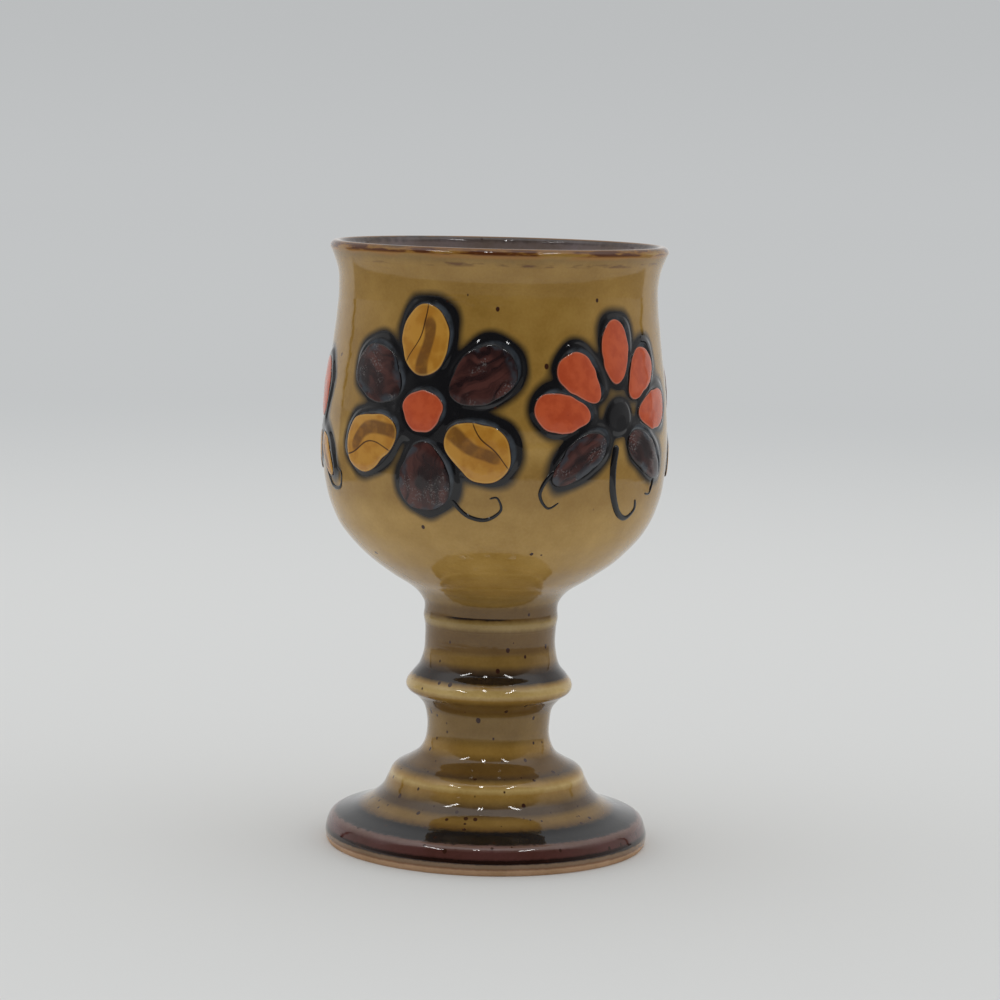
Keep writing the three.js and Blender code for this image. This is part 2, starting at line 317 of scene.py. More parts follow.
def turned(wall, poles):
    """Points and faces of the closed body that a wall line makes round the axis.

    With poles, the line starts and ends on the axis. Without them, it closes on itself.
    """
    rings = wall[1:-1] if poles else wall
    turn = np.arange(SEGMENTS) * 2 * math.pi / SEGMENTS
    radius, z = rings[:, :1], np.repeat(rings[:, 1:], SEGMENTS, axis=1)
    points = np.stack([radius * np.cos(turn), radius * np.sin(turn), z], axis=-1).reshape(-1, 3)
    index = np.arange(len(rings) * SEGMENTS).reshape(len(rings), SEGMENTS)
    if not poles:
        index = np.vstack([index, index[:1]])
    low, high = index[:-1], index[1:]
    faces = faces_of(low, after(low), after(high), high)
    if poles:
        first, last = len(points), len(points) + 1
        points = np.vstack([points, [0, 0, wall[0, 1]], [0, 0, wall[-1, 1]]])
        faces += faces_of(first, after(index[0]), index[0])
        faces += faces_of(index[-1], after(index[-1]), last)
    return points, faces


def thrown(points, amount):
    """The same points with the slight spiral ridges that fingers leave in thrown clay."""
    turn = np.arctan2(points[:, 1], points[:, 0])
    radius = np.hypot(points[:, 0], points[:, 1])
    z = points[:, 2]
    ridge = np.sin(RIDGE_RATE * z + turn) + CROSSING_SHARE * np.sin(CROSSING_RATE * z - turn + CROSSING_START)
    scale = 1 + amount * ridge * smooth_step(0, RIDGE_FULL_RADIUS, radius) / np.maximum(radius, 1)
    return points * np.column_stack([scale, scale, np.ones(len(z))])


def egg_reach(pad, angle):
    """Distance from a pad's centre to its rim, at an angle from its long axis."""
    width = pad.half_width * (1 + pad.fullness * np.cos(angle))
    return pad.half_length * width / np.hypot(width * np.cos(angle), pad.half_length * np.sin(angle))


def pad_share(pad, across, up):
    """0 at a pad's centre and 1 on its rim."""
    along = across * math.cos(pad.direction) + up * math.sin(pad.direction) - pad.distance
    side = up * math.cos(pad.direction) - across * math.sin(pad.direction)
    return np.hypot(along, side) / egg_reach(pad, np.arctan2(side, along))


def pad_gap(pad, across, up):
    """Distance beyond a pad's rim, negative inside it. Close to the rim it is true."""
    share = pad_share(pad, across, up)
    slope_across = (pad_share(pad, across + PROBE, up) - pad_share(pad, across - PROBE, up)) / (2 * PROBE)
    slope_up = (pad_share(pad, across, up + PROBE) - pad_share(pad, across, up - PROBE)) / (2 * PROBE)
    return (share - 1) / np.maximum(np.hypot(slope_across, slope_up), LEAST_SLOPE)


def nearest_pad(motif, across, up):
    """Distance beyond the rim of the nearest of a motif's pads."""
    return np.min([pad_gap(pad, across, up) for pad, _ in motif.pads.values()], axis=0)


def blended_least(a, b, width):
    """The smaller of two distances, rounded where they are alike."""
    near = np.maximum(width - np.abs(a - b), 0) / width
    return np.minimum(a, b) - near * near * width / 4


def slip_edge(motif, across, up):
    """Distance beyond the edge of a motif's slip, negative on it. It lies a little high and to the right."""
    across, up = across - SLIP_SHIFT, up - SLIP_SHIFT
    gap = np.hypot(across, up) - motif.hub_radius + SLIP_MARGIN
    for pad, _ in motif.pads.values():
        gap = blended_least(gap, pad_gap(pad, across, up), SLIP_BLEND)
    waver = ripple(SLIP_WAVER, across, up, (0.5, 0.45), (1.1, 0.4))
    return gap - SLIP_MARGIN - waver


def slip_lift(motif, across, up):
    """Lift of the slip over the skin: thin below the pads, a bead round each, and rounded off at its edge."""
    beside_pad = smooth_step(*SLIP_RISE, nearest_pad(motif, across, up))
    bead = SLIP_UNDER_PAD + (SLIP_CREST - SLIP_UNDER_PAD) * beside_pad
    edge = slip_edge(motif, across, up)
    uneven = ripple(SLIP_UNEVEN, across, up, (0.9, 0.8), (0.5, 0))
    inner = smooth_step(0, SLIP_EDGE_WIDTH, -edge)
    return (bead + uneven) * inner + SLIP_BED * smooth_step(0, SLIP_DROP_WIDTH, edge)


def slab_faces(cells, index, layer):
    """Faces of a closed slab over the grid cells. Its lower layer's points follow the upper one's."""
    rows, columns = np.nonzero(cells)
    corners = [(0, 0), (0, 1), (1, 1), (1, 0)]
    top = np.stack([index[rows + r, columns + c] for r, c in corners], axis=1)
    faces = [top, top[:, ::-1] + layer]
    around = np.pad(cells, 1)
    for side, (r, c) in enumerate([(-1, 0), (0, 1), (1, 0), (0, -1)]):
        bare = ~around[rows + 1 + r, columns + 1 + c]
        a, b = top[bare, side], top[bare, (side + 1) % 4]
        faces.append(np.stack([b, a, a + layer, b + layer], axis=1))
    return np.vstack(faces).tolist()


def slip_grid(motif):
    """The grid points that a motif's slip covers, and the faces of the slab on them."""
    ticks = np.arange(-PATCH_REACH, PATCH_REACH, PATCH_GRID)
    across, up = np.meshgrid(ticks, ticks)
    near = slip_edge(motif, across, up) < PATCH_GRID
    cells = near[:-1, :-1] | near[1:, :-1] | near[:-1, 1:] | near[1:, 1:]
    used = np.zeros_like(near)
    for r in (0, 1):
        for c in (0, 1):
            used[r : r + cells.shape[0], c : c + cells.shape[1]] |= cells
    index = np.full(near.shape, -1)
    index[used] = np.arange(used.sum())
    return across[used], up[used], slab_faces(cells, index, used.sum())


def slip_ground(motif, turn, node, material):
    """The coat of dark slip below a motif's enamels, a closed slab laid on the bowl, with its tendrils."""
    x, y, faces = slip_grid(motif)
    azimuth = motif.azimuth + turn
    top = on_bowl(azimuth, x, motif.z + y, slip_lift(motif, x, y))
    bed = on_bowl(azimuth, x, motif.z + y, np.full_like(x, SLIP_BOTTOM))
    # Distance to the pads moved up and to the right, which places the painted sheen on the slip.
    beside = nearest_pad(motif, x - SHEEN_SHIFT, y - SHEEN_SHIFT)
    lines = [tendril(motif, turn, stations) for stations in motif.tendrils]
    points, faces = joined([(np.vstack([top, bed]), faces), *lines])
    beside = np.append(np.tile(beside, 2), np.full(len(points) - 2 * len(x), FAR_FROM_PADS))
    piece(f"{node}_trailed", points, faces, material, [node], {"beside": beside})


def pad_lift(pad, share, across, up):
    """Lift of an enamel pad over the skin: flat on top, round at its rim."""
    brushed = ripple(PAD_BRUSHED, across, up, (1.3, 1.1), (pad.direction, 0.8))
    return PAD_RIM_LIFT + (PAD_CROWN + brushed) * np.sqrt(np.clip(1 - share**4, 0, 1))


def pad_rings(pad):
    """Along, side and share of a pad's points: its rings, its skirt, and the middle of its top and bottom."""
    angle = np.arange(PAD_SIDES) * 2 * math.pi / PAD_SIDES
    shares = np.sin(np.linspace(0, 0.5, PAD_RINGS + 1)[1:] * math.pi)
    share, angle = np.meshgrid(shares, angle, indexing="ij")
    reach = egg_reach(pad, angle)
    for amount, waves, turns in PAD_WAVERS:
        reach += amount * np.sin(waves * angle + turns * pad.direction)
    along, side = share * reach * np.cos(angle), share * reach * np.sin(angle)
    along = np.vstack([along, along[-1:] * PAD_SKIRT_REACH]).ravel()
    side = np.vstack([side, side[-1:] * PAD_SKIRT_REACH]).ravel()
    share = np.concatenate([share.ravel(), np.ones(PAD_SIDES)])
    return [np.append(line, [0, 0]) for line in (along, side, share)]


def pad_faces():
    """Faces of a pad between its rings, and fans to its two middle points."""
    index = np.arange((PAD_RINGS + 1) * PAD_SIDES).reshape(-1, PAD_SIDES)
    inner, outer = index[:-1], index[1:]
    faces = faces_of(inner, outer, after(outer), after(inner))
    faces += faces_of(index.size, index[0], after(index[0]))
    faces += faces_of(index.size + 1, after(index[-1]), index[-1])
    return faces


def enamel_pad(motif, pad, turn, node, material):
    """One pad of enamel, a closed body that sits in the slip."""
    along, side, share = pad_rings(pad)
    cosine, sine = math.cos(pad.direction), math.sin(pad.direction)
    across = (pad.distance + along) * cosine - side * sine
    up = (pad.distance + along) * sine + side * cosine
    lift = pad_lift(pad, share, across, up)
    skirt, top, bottom = slice(-2 - PAD_SIDES, -2), -2, -1
    lift[skirt] = PAD_SKIRT_LIFT
    lift[top] = pad_lift(pad, 0.0, across[top], up[top])
    lift[bottom] = 0.0
    points = on_bowl(motif.azimuth + turn, across, motif.z + up, lift)
    to_rim = (1 - share) * np.hypot(along, side) / np.maximum(share, LEAST_SHARE)
    to_rim[top] = PAD_MIDDLE
    place = np.column_stack([along / pad.half_length, side / pad.half_width, to_rim])
    piece(f"{node}_enamel", points, pad_faces(), material, [node], {"place": place})


def trailed_line(motif, turn, path, widths, height, base):
    """Points and faces of a line of slip along a path of (across, up) points, at the lift base."""
    run = np.gradient(path, axis=0)
    run /= np.hypot(*run.T)[:, None]
    left = np.column_stack([-run[:, 1], run[:, 0]])
    arc = np.linspace(0, math.pi, TRAIL_ARC)
    reach = np.append(np.cos(arc), [-1, 1])
    rise = np.append(np.sin(arc), [-1, -1])
    spot = path[:, None] + left[:, None] * (widths[:, None] / 2 * reach)[..., None]
    lift = base + np.where(rise > 0, height, TRAIL_ROOT) * rise * (widths / widths.max())[:, None]
    points = on_bowl(motif.azimuth + turn, spot[..., 0], motif.z + spot[..., 1], lift)
    index = np.arange(points.shape[0] * points.shape[1]).reshape(points.shape[:2])
    near, far = index[:-1], index[1:]
    faces = faces_of(near, after(near), after(far), far)
    faces += [index[0][::-1].tolist(), index[-1].tolist()]
    return points.reshape(-1, 3), faces


def tapered(count, widest):
    """Widths along a trailed line that thins towards its end and has round ends."""
    t = np.linspace(0, 1, count)
    body = 1 - (1 - TRAIL_END) * smooth_step(TAPER_FROM, 1, t)
    round_end = np.sqrt(np.clip(1 - (2 * t - 1) ** END_SHARPNESS, 0.02, 1))
    return widest * body * round_end


def joined(parts):
    """One set of points and faces from several."""
    points, faces, first = [], [], 0
    for part_points, part_faces in parts:
        points.append(part_points)
        faces += [[first + i for i in face] for face in part_faces]
        first += len(part_points)
    return np.vstack(points), faces


GLAZE_IOR = 1.52


class Nodes:
    """Short calls for the nodes of the looks. A value is a number, a colour or another socket."""

    def __init__(self, tree):
        self.tree = tree
        tree.nodes.clear()

    def add(self, kind, **settings):
        node = self.tree.nodes.new("ShaderNode" + kind)
        for key, value in settings.items():
            setattr(node, key, value)
        return node

    def put(self, socket, value):
        """Links a socket to the value where that is a socket too, and else sets it."""
        if isinstance(value, bpy.types.NodeSocket):
            self.tree.links.new(value, socket)
        elif isinstance(value, tuple) and socket.type == "RGBA":
            socket.default_value = (*value, 1)
        else:
            socket.default_value = value

    def attribute(self, name, output="Fac"):
        return self.add("Attribute", attribute_name=name).outputs[output]

    def place(self, stretch=(1, 1, 1)):
        """Where a point lies, in millimetres, with each axis stretched."""
        scaled = self.add("VectorMath", operation="MULTIPLY")
        self.put(scaled.inputs[0], self.add("TexCoord").outputs["Object"])
        scaled.inputs[1].default_value = [s / MM for s in stretch]
        return scaled.outputs[0]

    def split(self, vector):
        """The three parts of a vector."""
        node = self.add("SeparateXYZ")
        self.put(node.inputs[0], vector)
        return node.outputs

    def math(self, operation, a, b=0.0, clamp=False):
        node = self.add("Math", operation=operation, use_clamp=clamp)
        self.put(node.inputs[0], a)
        self.put(node.inputs[1], b)
        return node.outputs[0]

    def plus(self, a, b):
        return self.math("ADD", a, b)

    def minus(self, a, b, clamp=False):
        return self.math("SUBTRACT", a, b, clamp)

    def times(self, a, b):
        return self.math("MULTIPLY", a, b)

    def over(self, a, b, clamp=False):
        return self.math("DIVIDE", a, b, clamp)

    def away(self, value, middle):
        """How far a value is from a middle, to either side."""
        return self.math("ABSOLUTE", self.minus(value, middle))

    def fade(self, value, low, high):
        """0 below low, 1 above high; the other way round where low is the larger."""
        node = self.add("MapRange", interpolation_type="SMOOTHSTEP")
        for key, number in (("Value", value), ("From Min", min(low, high)), ("From Max", max(low, high))):
            self.put(node.inputs[key], number)
        node.inputs["To Min"].default_value = float(low > high)
        node.inputs["To Max"].default_value = float(low <= high)
        return node.outputs[0]

    def between(self, share, a, b):
        """A number that goes from a to b as share goes from 0 to 1."""
        node = self.add("Mix")
        self.put(node.inputs[0], share)
        self.put(node.inputs[2], a)
        self.put(node.inputs[3], b)
        return node.outputs[0]

    def mix(self, share, a, b, blend="MIX"):
        """A colour that goes from a to b, or to the two blended, as share goes from 0 to 1."""
        node = self.add("Mix", data_type="RGBA", blend_type=blend)
        self.put(node.inputs[0], share)
        self.put(node.inputs[6], a)
        self.put(node.inputs[7], b)
        return node.outputs[2]

    def noise(self, place, scale, detail=3.0):
        node = self.add("TexNoise")
        self.put(node.inputs["Vector"], place)
        node.inputs["Scale"].default_value = scale
        node.inputs["Detail"].default_value = detail
        return node.outputs["Fac"]

    def patches(self, scale, detail, low, high):
        """1 in soft-edged patches where the noise is high, 0 where it is low."""
        return self.fade(self.noise(self.place(), scale, detail), low, high)

    def specks(self, place, spacing, share, radius):
        """1 on sparse round specks: that share of the cells, spacing apart, holds one up to that radius."""
        cells = self.add("TexVoronoi")
        self.put(cells.inputs["Vector"], place)
        cells.inputs["Scale"].default_value = 1 / spacing
        lot = self.add("SeparateColor")
        self.put(lot.inputs[0], cells.outputs["Color"])
        size = self.times(self.minus(lot.outputs[0], 1 - share, clamp=True), radius / share)
        distance = self.times(cells.outputs["Distance"], spacing)
        return self.over(self.minus(size, distance), SPECK_EDGE, clamp=True)

    def ramp(self, value, stops):
        """A colour for each value: stops are (value, colour) from low to high."""
        low, high = stops[0][0], stops[-1][0]
        node = self.add("ValToRGB")
        self.put(node.inputs[0], self.over(self.minus(value, low), high - low))
        elements = node.color_ramp.elements
        while len(elements) < len(stops):
            elements.new(1.0)
        for element, (height, colour) in zip(elements, stops):
            element.position = (height - low) / (high - low)
            element.color = (*colour, 1)
        return node.outputs[0]

    def bump(self, height, depth):
        """A normal from a height field; depth is its full height in millimetres."""
        node = self.add("Bump")
        self.put(node.inputs["Height"], height)
        node.inputs["Strength"].default_value = 1.0
        node.inputs["Distance"].default_value = depth * MM
        return node.outputs[0]

    def surface(self, colour, roughness, normal):
        """A glossy coat over a coloured body, as the material's surface."""
        shader = self.add("BsdfPrincipled")
        self.put(shader.inputs["Base Color"], colour)
        self.put(shader.inputs["Roughness"], roughness)
        self.put(shader.inputs["Normal"], normal)
        shader.inputs["IOR"].default_value = GLAZE_IOR
        self.put(self.add("OutputMaterial").inputs[0], shader.outputs[0])


def new_material(name):
    material = bpy.data.materials.new(name)
    material.use_nodes = True
    return material, Nodes(material.node_tree)


# Colours are linear. Honey glaze pools dark in hollows and breaks pale over edges.
# Some colours below also hold painted light, as noted where they are set or used.
HONEY_PALE = (0.50, 0.355, 0.135)
HONEY_LIGHT = (0.37, 0.225, 0.060)
HONEY = (0.295, 0.170, 0.038)
HONEY_DULL = (0.30, 0.205, 0.072)
HONEY_DEEP = (0.22, 0.130, 0.034)
HONEY_BROWN = (0.14, 0.076, 0.020)
POOLED_BROWN = (0.085, 0.051, 0.024)
# Near black: pooled glaze with a painted dark reflection on the knop's top, and the dark line at the seam.
NEAR_BLACK_GLAZE = (0.022, 0.014, 0.010)
IRON = (0.038, 0.013, 0.007)
IRON_DARK = (0.016, 0.006, 0.004)
BLUE_BLACK = (0.008, 0.0078, 0.009)
# Slate grey: a painted sheen on the slip beside the enamels, and patches in the aubergine enamel.
SLATE_SHEEN_AND_PATCHES = (0.040, 0.048, 0.058)
SLIP_BLEED = (0.030, 0.022, 0.012)
OXBLOOD = (0.082, 0.030, 0.025)
# A painted highlight for the ridge above the foot's oxblood band.
OXBLOOD_HIGHLIGHT = (0.16, 0.095, 0.080)
CLAY = (0.42, 0.255, 0.14)
CLAY_TINTED = (0.17, 0.075, 0.030)
CLAY_GLAZED = (0.20, 0.125, 0.070)
LIP_ORANGE = (0.30, 0.135, 0.025)
LIP_BROWN = (0.085, 0.026, 0.008)
# The inside glaze, painted lighter than its own colour as a sheen of light inside the bowl.
LINER_WITH_SHEEN = (0.235, 0.185, 0.172)
LINER_EDGE = (0.055, 0.045, 0.043)
ORANGE = (0.43, 0.066, 0.022)
ORANGE_BRIGHT = (0.51, 0.090, 0.030)
# Paler orange for the ring inside a pad's rim: thinner enamel, and a painted highlight.
ORANGE_THIN_AND_HIGHLIGHT = (0.52, 0.20, 0.13)
ORANGE_PIT = (0.10, 0.02, 0.012)
AMBER = (0.40, 0.175, 0.022)
AMBER_BRIGHT = (0.48, 0.235, 0.036)
# Paler amber for the ring inside a pad's rim: thinner enamel, and a painted highlight.
AMBER_THIN_AND_HIGHLIGHT = (0.55, 0.33, 0.08)
AMBER_STROKE = (0.13, 0.052, 0.014)
AUBERGINE = (0.078, 0.028, 0.023)
AUBERGINE_DARK = (0.022, 0.009, 0.009)
AUBERGINE_BLACK = (0.009, 0.005, 0.006)
AUBERGINE_RIM = (0.006, 0.004, 0.004)
CRYSTAL = (0.17, 0.155, 0.15)

# Tints that the glaze is multiplied by, from the noise's low to its high.
MOTTLE = [(0.45, (0.86, 0.83, 0.74)), (0.9, (1.14, 1.17, 1.26))]

# Glaze colour by height. Past the lip the height runs on, down the inside of the bowl. UNGLAZED stands for
# the bare clay inside the pedestal.
UNGLAZED = -2.0
# On the foot, the pale band from 6.2 to 6.5 is a painted highlight along the ridge.
FOOT_GLAZE = [
    (UNGLAZED, CLAY), (1.2, CLAY), (1.6, CLAY_TINTED), (2.0, CLAY_GLAZED), (2.5, CLAY_GLAZED),
    (2.75, IRON_DARK), (3.5, IRON_DARK), (4.0, OXBLOOD), (5.3, OXBLOOD), (6.2, OXBLOOD_HIGHLIGHT),
    (6.5, OXBLOOD_HIGHLIGHT), (6.7, BLUE_BLACK), (8.3, BLUE_BLACK), (8.9, HONEY_BROWN), (9.6, HONEY_DEEP),
    (10.3, HONEY_DEEP), (11.3, POOLED_BROWN), (12.4, POOLED_BROWN), (13.8, HONEY_DEEP), (15.2, HONEY),
    (16.3, HONEY_PALE), (17.2, HONEY_LIGHT), (18.5, POOLED_BROWN), (19.4, HONEY_BROWN), (21.4, HONEY_BROWN),
    (23.2, HONEY), (24.4, HONEY), (25.8, HONEY_DEEP), (28, HONEY_DEEP),
]
# On the stem, the near-black band from 40 to 41.5, on the knop's top, is pooled glaze with a painted dark
# reflection over it.
STEM_GLAZE = [
    (28, HONEY_DEEP), (31.2, HONEY_DEEP), (32.6, HONEY_BROWN), (34.9, HONEY_BROWN), (36.3, HONEY),
    (37.4, HONEY_PALE), (38.6, HONEY_PALE), (39.1, HONEY_LIGHT), (40.0, NEAR_BLACK_GLAZE), (41.5, NEAR_BLACK_GLAZE),
    (42.7, POOLED_BROWN), (44, HONEY_DEEP), (45.6, HONEY_DEEP), (46.8, HONEY_BROWN), (51, HONEY_BROWN),
    (52.2, HONEY_DULL), (53.4, HONEY_DULL), (54, HONEY_BROWN),
]
BEAD_GLAZE = [
    (50, HONEY_BROWN), (51.4, HONEY_BROWN), (52.5, HONEY_DULL), (53.4, HONEY_DULL), (54.4, HONEY_BROWN),
    (57, HONEY_BROWN),
]
# On the bowl, the lighter band from 64 to 84, low on the belly, is painted light from the table below.
# Past 141.2, inside the bowl, the glaze is painted lighter than its own colour, as a sheen of light.
BOWL_GLAZE = [
    (54, HONEY_BROWN), (57, HONEY_BROWN), (58, HONEY_DEEP), (59.5, HONEY_DEEP), (61.2, HONEY), (64, HONEY),
    (69, HONEY_LIGHT), (80, HONEY_LIGHT), (84, HONEY), (92, HONEY), (96, HONEY_LIGHT), (101, HONEY),
    (136, HONEY), (137.6, HONEY_DEEP), (139, HONEY), (139.9, LIP_BROWN), (140.3, LINER_EDGE),
    (140.7, LINER_EDGE), (141.2, LINER_WITH_SHEEN), (220, LINER_WITH_SHEEN),
]

# How ragged each glaze's bands are, in millimetres, and the share of its cells that hold an iron speck.
BOWL_RAGGED, BOWL_SPECKS = 1.2, 0.07
PEDESTAL_RAGGED, PEDESTAL_SPECKS = 0.4, 0.8
BEAD_RAGGED, BEAD_SPECKS = 0.5, 0.05

# Specks and pits: the spacing of the cells that may hold one, the greatest radius and the width of the soft
# edge. The share of the cells that do hold one is above for the specks.
SPECK_SPACING = 2.2
SPECK_RADIUS = 0.62
SPECK_EDGE = 0.12
PIT_SPACING = 1.6
PIT_SHARE = 0.25
PIT_RADIUS = 0.14

# Depth of the relief that the glazes and enamels have as bump.
GLAZE_WAVES = 0.016
ENAMEL_WAVES = 0.02
BRUSH_MARKS = 0.06

# Heights between which something starts or ends, and where the dark lines lie.
SPECKS_START = (2.4, 3.2)
CLAY_END = (1.5, 0.9)
SATIN_START = (141, 143)
ORANGE_START, ORANGE_END = (137.2, 138.6), (140.4, 139.9)
BROWN_START, BROWN_END = (138.2, 138.8), (140.2, 139.6)
STAINED_LINE_Z = 136.4
SEAM_LINE_Z = 54.7
SEAM_LINE_X = -3.0
SEAM_LINE_REACH = (8.5, 5.0)


def glaze(name, ramps, ragged, speck_share, bowl=False, seam=False):
    """Glossy glaze coloured by height, with iron specks. Each ramp takes over where it starts."""
    material, g = new_material(name)
    height = g.attribute("height")
    streaks = g.noise(g.place((1, 1, 0.12)), 0.7)
    shifted = g.plus(height, g.times(g.minus(streaks, 0.5), ragged))
    colour = g.ramp(shifted, ramps[0])
    for stops in ramps[1:]:
        colour = g.mix(g.math("GREATER_THAN", shifted, stops[0][0]), colour, g.ramp(shifted, stops))
    mottle = g.plus(g.noise(g.place(), 0.13), g.times(g.noise(g.place(), 1.6), 0.35))
    colour = g.mix(1.0, colour, g.ramp(mottle, MOTTLE), "MULTIPLY")
    if bowl:
        colour = lip_stains(g, height, slip_stain(g, colour))
    if seam:
        colour = seam_dark_line(g, height, colour)
    iron = g.specks(g.place((1, 1, 0.75)), SPECK_SPACING, speck_share, SPECK_RADIUS)
    colour = g.mix(g.times(iron, g.fade(height, *SPECKS_START)), colour, IRON)
    bare = g.plus(g.fade(height, *CLAY_END), g.times(g.fade(height, *SATIN_START), 0.2))
    gloss = g.plus(0.03, g.times(g.noise(g.place(), 0.5), 0.03))
    waves = g.plus(g.noise(g.place(), 0.7, 2), g.noise(g.place((0.04, 0.04, 1)), 0.9, 2))
    g.surface(colour, g.plus(gloss, g.times(bare, 0.7)), g.bump(waves, GLAZE_WAVES))
    return material


def slip_stain(g, colour):
    """The dark slip bleeds into the honey glaze round the motifs, under one smooth gloss."""
    gap = g.plus(g.attribute("slip_gap"), g.times(g.noise(g.place(), 0.2, 0), 0.9))
    colour = g.mix(g.times(g.fade(gap, 2.3, 0.6), 0.9), colour, SLIP_BLEED)
    return g.mix(g.fade(gap, 0.95, 0.3), colour, BLUE_BLACK)


def lip_stains(g, height, colour):
    """Orange and brown patches where the glaze is thin on the lip, and a broken brown line below it."""
    cloud = g.noise(g.place((1, 1, 5)), 0.11, 6)
    orange = g.times(g.fade(height, *ORANGE_START), g.fade(height, *ORANGE_END))
    brown = g.times(g.fade(height, *BROWN_START), g.fade(height, *BROWN_END))
    colour = g.mix(g.times(orange, g.fade(cloud, 0.32, 0.54)), colour, LIP_ORANGE)
    colour = g.mix(g.times(brown, g.fade(cloud, 0.43, 0.53)), colour, LIP_BROWN)
    line = g.fade(g.away(height, STAINED_LINE_Z), 0.7, 0.1)
    broken = g.fade(g.noise(g.place((1, 1, 4)), 0.2, 6), 0.48, 0.68)
    return g.mix(g.times(g.times(line, broken), 0.8), colour, LIP_BROWN)


def seam_dark_line(g, height, colour):
    """A dark line in the groove above the luting slip, for a short way at the front."""
    waver = g.times(g.minus(g.noise(g.place((1, 1, 0.2)), 0.25, 4), 0.5), 1.2)
    line = g.fade(g.away(g.plus(height, waver), SEAM_LINE_Z), 0.75, 0.15)
    x, y, _ = g.split(g.place())
    near = g.fade(g.away(x, SEAM_LINE_X), *SEAM_LINE_REACH)
    at_front = g.times(near, g.math("LESS_THAN", y, 0.0))
    return g.mix(g.times(line, at_front), colour, NEAR_BLACK_GLAZE)


def slip_material():
    """Blue-black slip under a clear gloss, with a painted slate-grey sheen beside the enamels."""
    material, g = new_material("trailed_slip")
    # Painted sheen: slate grey where the pads, moved up and to the right, would lie.
    slate = g.times(g.fade(g.attribute("beside"), 0.35, -0.35), g.patches(0.22, 3, 0.34, 0.6))
    colour = g.mix(slate, BLUE_BLACK, SLATE_SHEEN_AND_PATCHES)
    g.surface(colour, 0.06, g.bump(g.noise(g.place(), 0.4, 1), ENAMEL_WAVES))
    return material


def orange_material():
    """Opaque orange-red enamel, paler where it thins at its rim, with a painted highlight there, a dark rim
    line and a few pits.
    """
    material, g = new_material("orange_enamel_glossy")
    rim = g.split(g.attribute("place", "Vector"))[2]
    colour = g.mix(g.patches(0.4, 4, 0.35, 0.65), ORANGE, ORANGE_BRIGHT)
    # Pale ring inside the rim: thinner enamel, and a painted highlight.
    colour = g.mix(g.times(g.fade(rim, 0.5, 0.25), 0.4), colour, ORANGE_THIN_AND_HIGHLIGHT)
    colour = g.mix(g.fade(rim, 0.20, 0.08), colour, IRON)
    colour = g.mix(g.specks(g.place(), PIT_SPACING, PIT_SHARE, PIT_RADIUS), colour, ORANGE_PIT)
    g.surface(colour, 0.12, g.bump(g.noise(g.place(), 0.5), ENAMEL_WAVES))
    return material


def amber_material():
    """Amber enamel with a broad brown stroke and a hair-line along each pad, and a dark line at its rim."""
    material, g = new_material("amber_enamel_glossy")
    along, side, rim = g.split(g.attribute("place", "Vector"))
    colour = g.mix(g.patches(0.25, 3, 0.38, 0.6), AMBER, AMBER_BRIGHT)
    off = g.plus(side, g.times(g.minus(g.noise(g.place(), 0.06, 1), 0.5), 2.2))
    past_end = g.math("MAXIMUM", g.minus(along, 0.40), 0.0)
    reach = g.math("SQRT", g.plus(g.times(off, off), g.times(past_end, past_end)))
    density = g.plus(0.5, g.times(g.patches(0.5, 3, 0.25, 0.6), 0.35))
    colour = g.mix(g.times(g.fade(reach, 0.34, 0.20), density), colour, AMBER_STROKE)
    hair = g.fade(g.away(g.plus(off, g.times(along, 0.5)), 0.5), 0.04, 0.015)
    colour = g.mix(g.times(hair, 0.9), colour, IRON)
    # Pale ring inside the rim: thinner enamel, and a painted highlight.
    colour = g.mix(g.times(g.fade(rim, 0.7, 0.3), 0.35), colour, AMBER_THIN_AND_HIGHLIGHT)
    colour = g.mix(g.fade(rim, 0.20, 0.08), colour, IRON)
    g.surface(colour, 0.10, g.bump(g.noise(g.place(), 0.5), ENAMEL_WAVES))
    return material


def aubergine_material():
    """Brushed aubergine enamel: long streaks, slate patches at the edges, whitish crystals and a dark rim."""
    material, g = new_material("aubergine_enamel_satin")
    along, side, rim = g.split(g.attribute("place", "Vector"))
    brushed = g.add("CombineXYZ")
    g.put(brushed.inputs[0], g.times(along, 0.5))
    g.put(brushed.inputs[1], g.plus(g.times(side, 2.2), g.times(g.noise(g.place(), 0.15, 2), 3.0)))
    g.put(brushed.inputs[2], g.noise(g.place(), 0.04, 1))
    streaks = g.noise(brushed.outputs[0], 1.5, 7)
    colour = g.mix(g.fade(streaks, 0.36, 0.66), AUBERGINE_DARK, AUBERGINE)
    colour = g.mix(g.times(g.patches(0.13, 2, 0.46, 0.60), 0.75), colour, AUBERGINE_BLACK)
    slate = g.times(g.patches(0.17, 3, 0.50, 0.60), g.fade(rim, 2.6, 0.8))
    colour = g.mix(g.times(slate, 0.85), colour, SLATE_SHEEN_AND_PATCHES)
    crystals = g.times(g.patches(2.6, 4, 0.52, 0.62), g.patches(0.2, 2, 0.52, 0.62))
    colour = g.mix(g.times(crystals, 0.42), colour, CRYSTAL)
    colour = g.mix(g.fade(rim, 0.28, 0.1), colour, AUBERGINE_RIM)
    relief = g.plus(g.times(streaks, 1.4), g.times(crystals, 0.3))
    g.surface(colour, g.plus(0.12, g.times(crystals, 0.25)), g.bump(relief, BRUSH_MARKS))
    return material


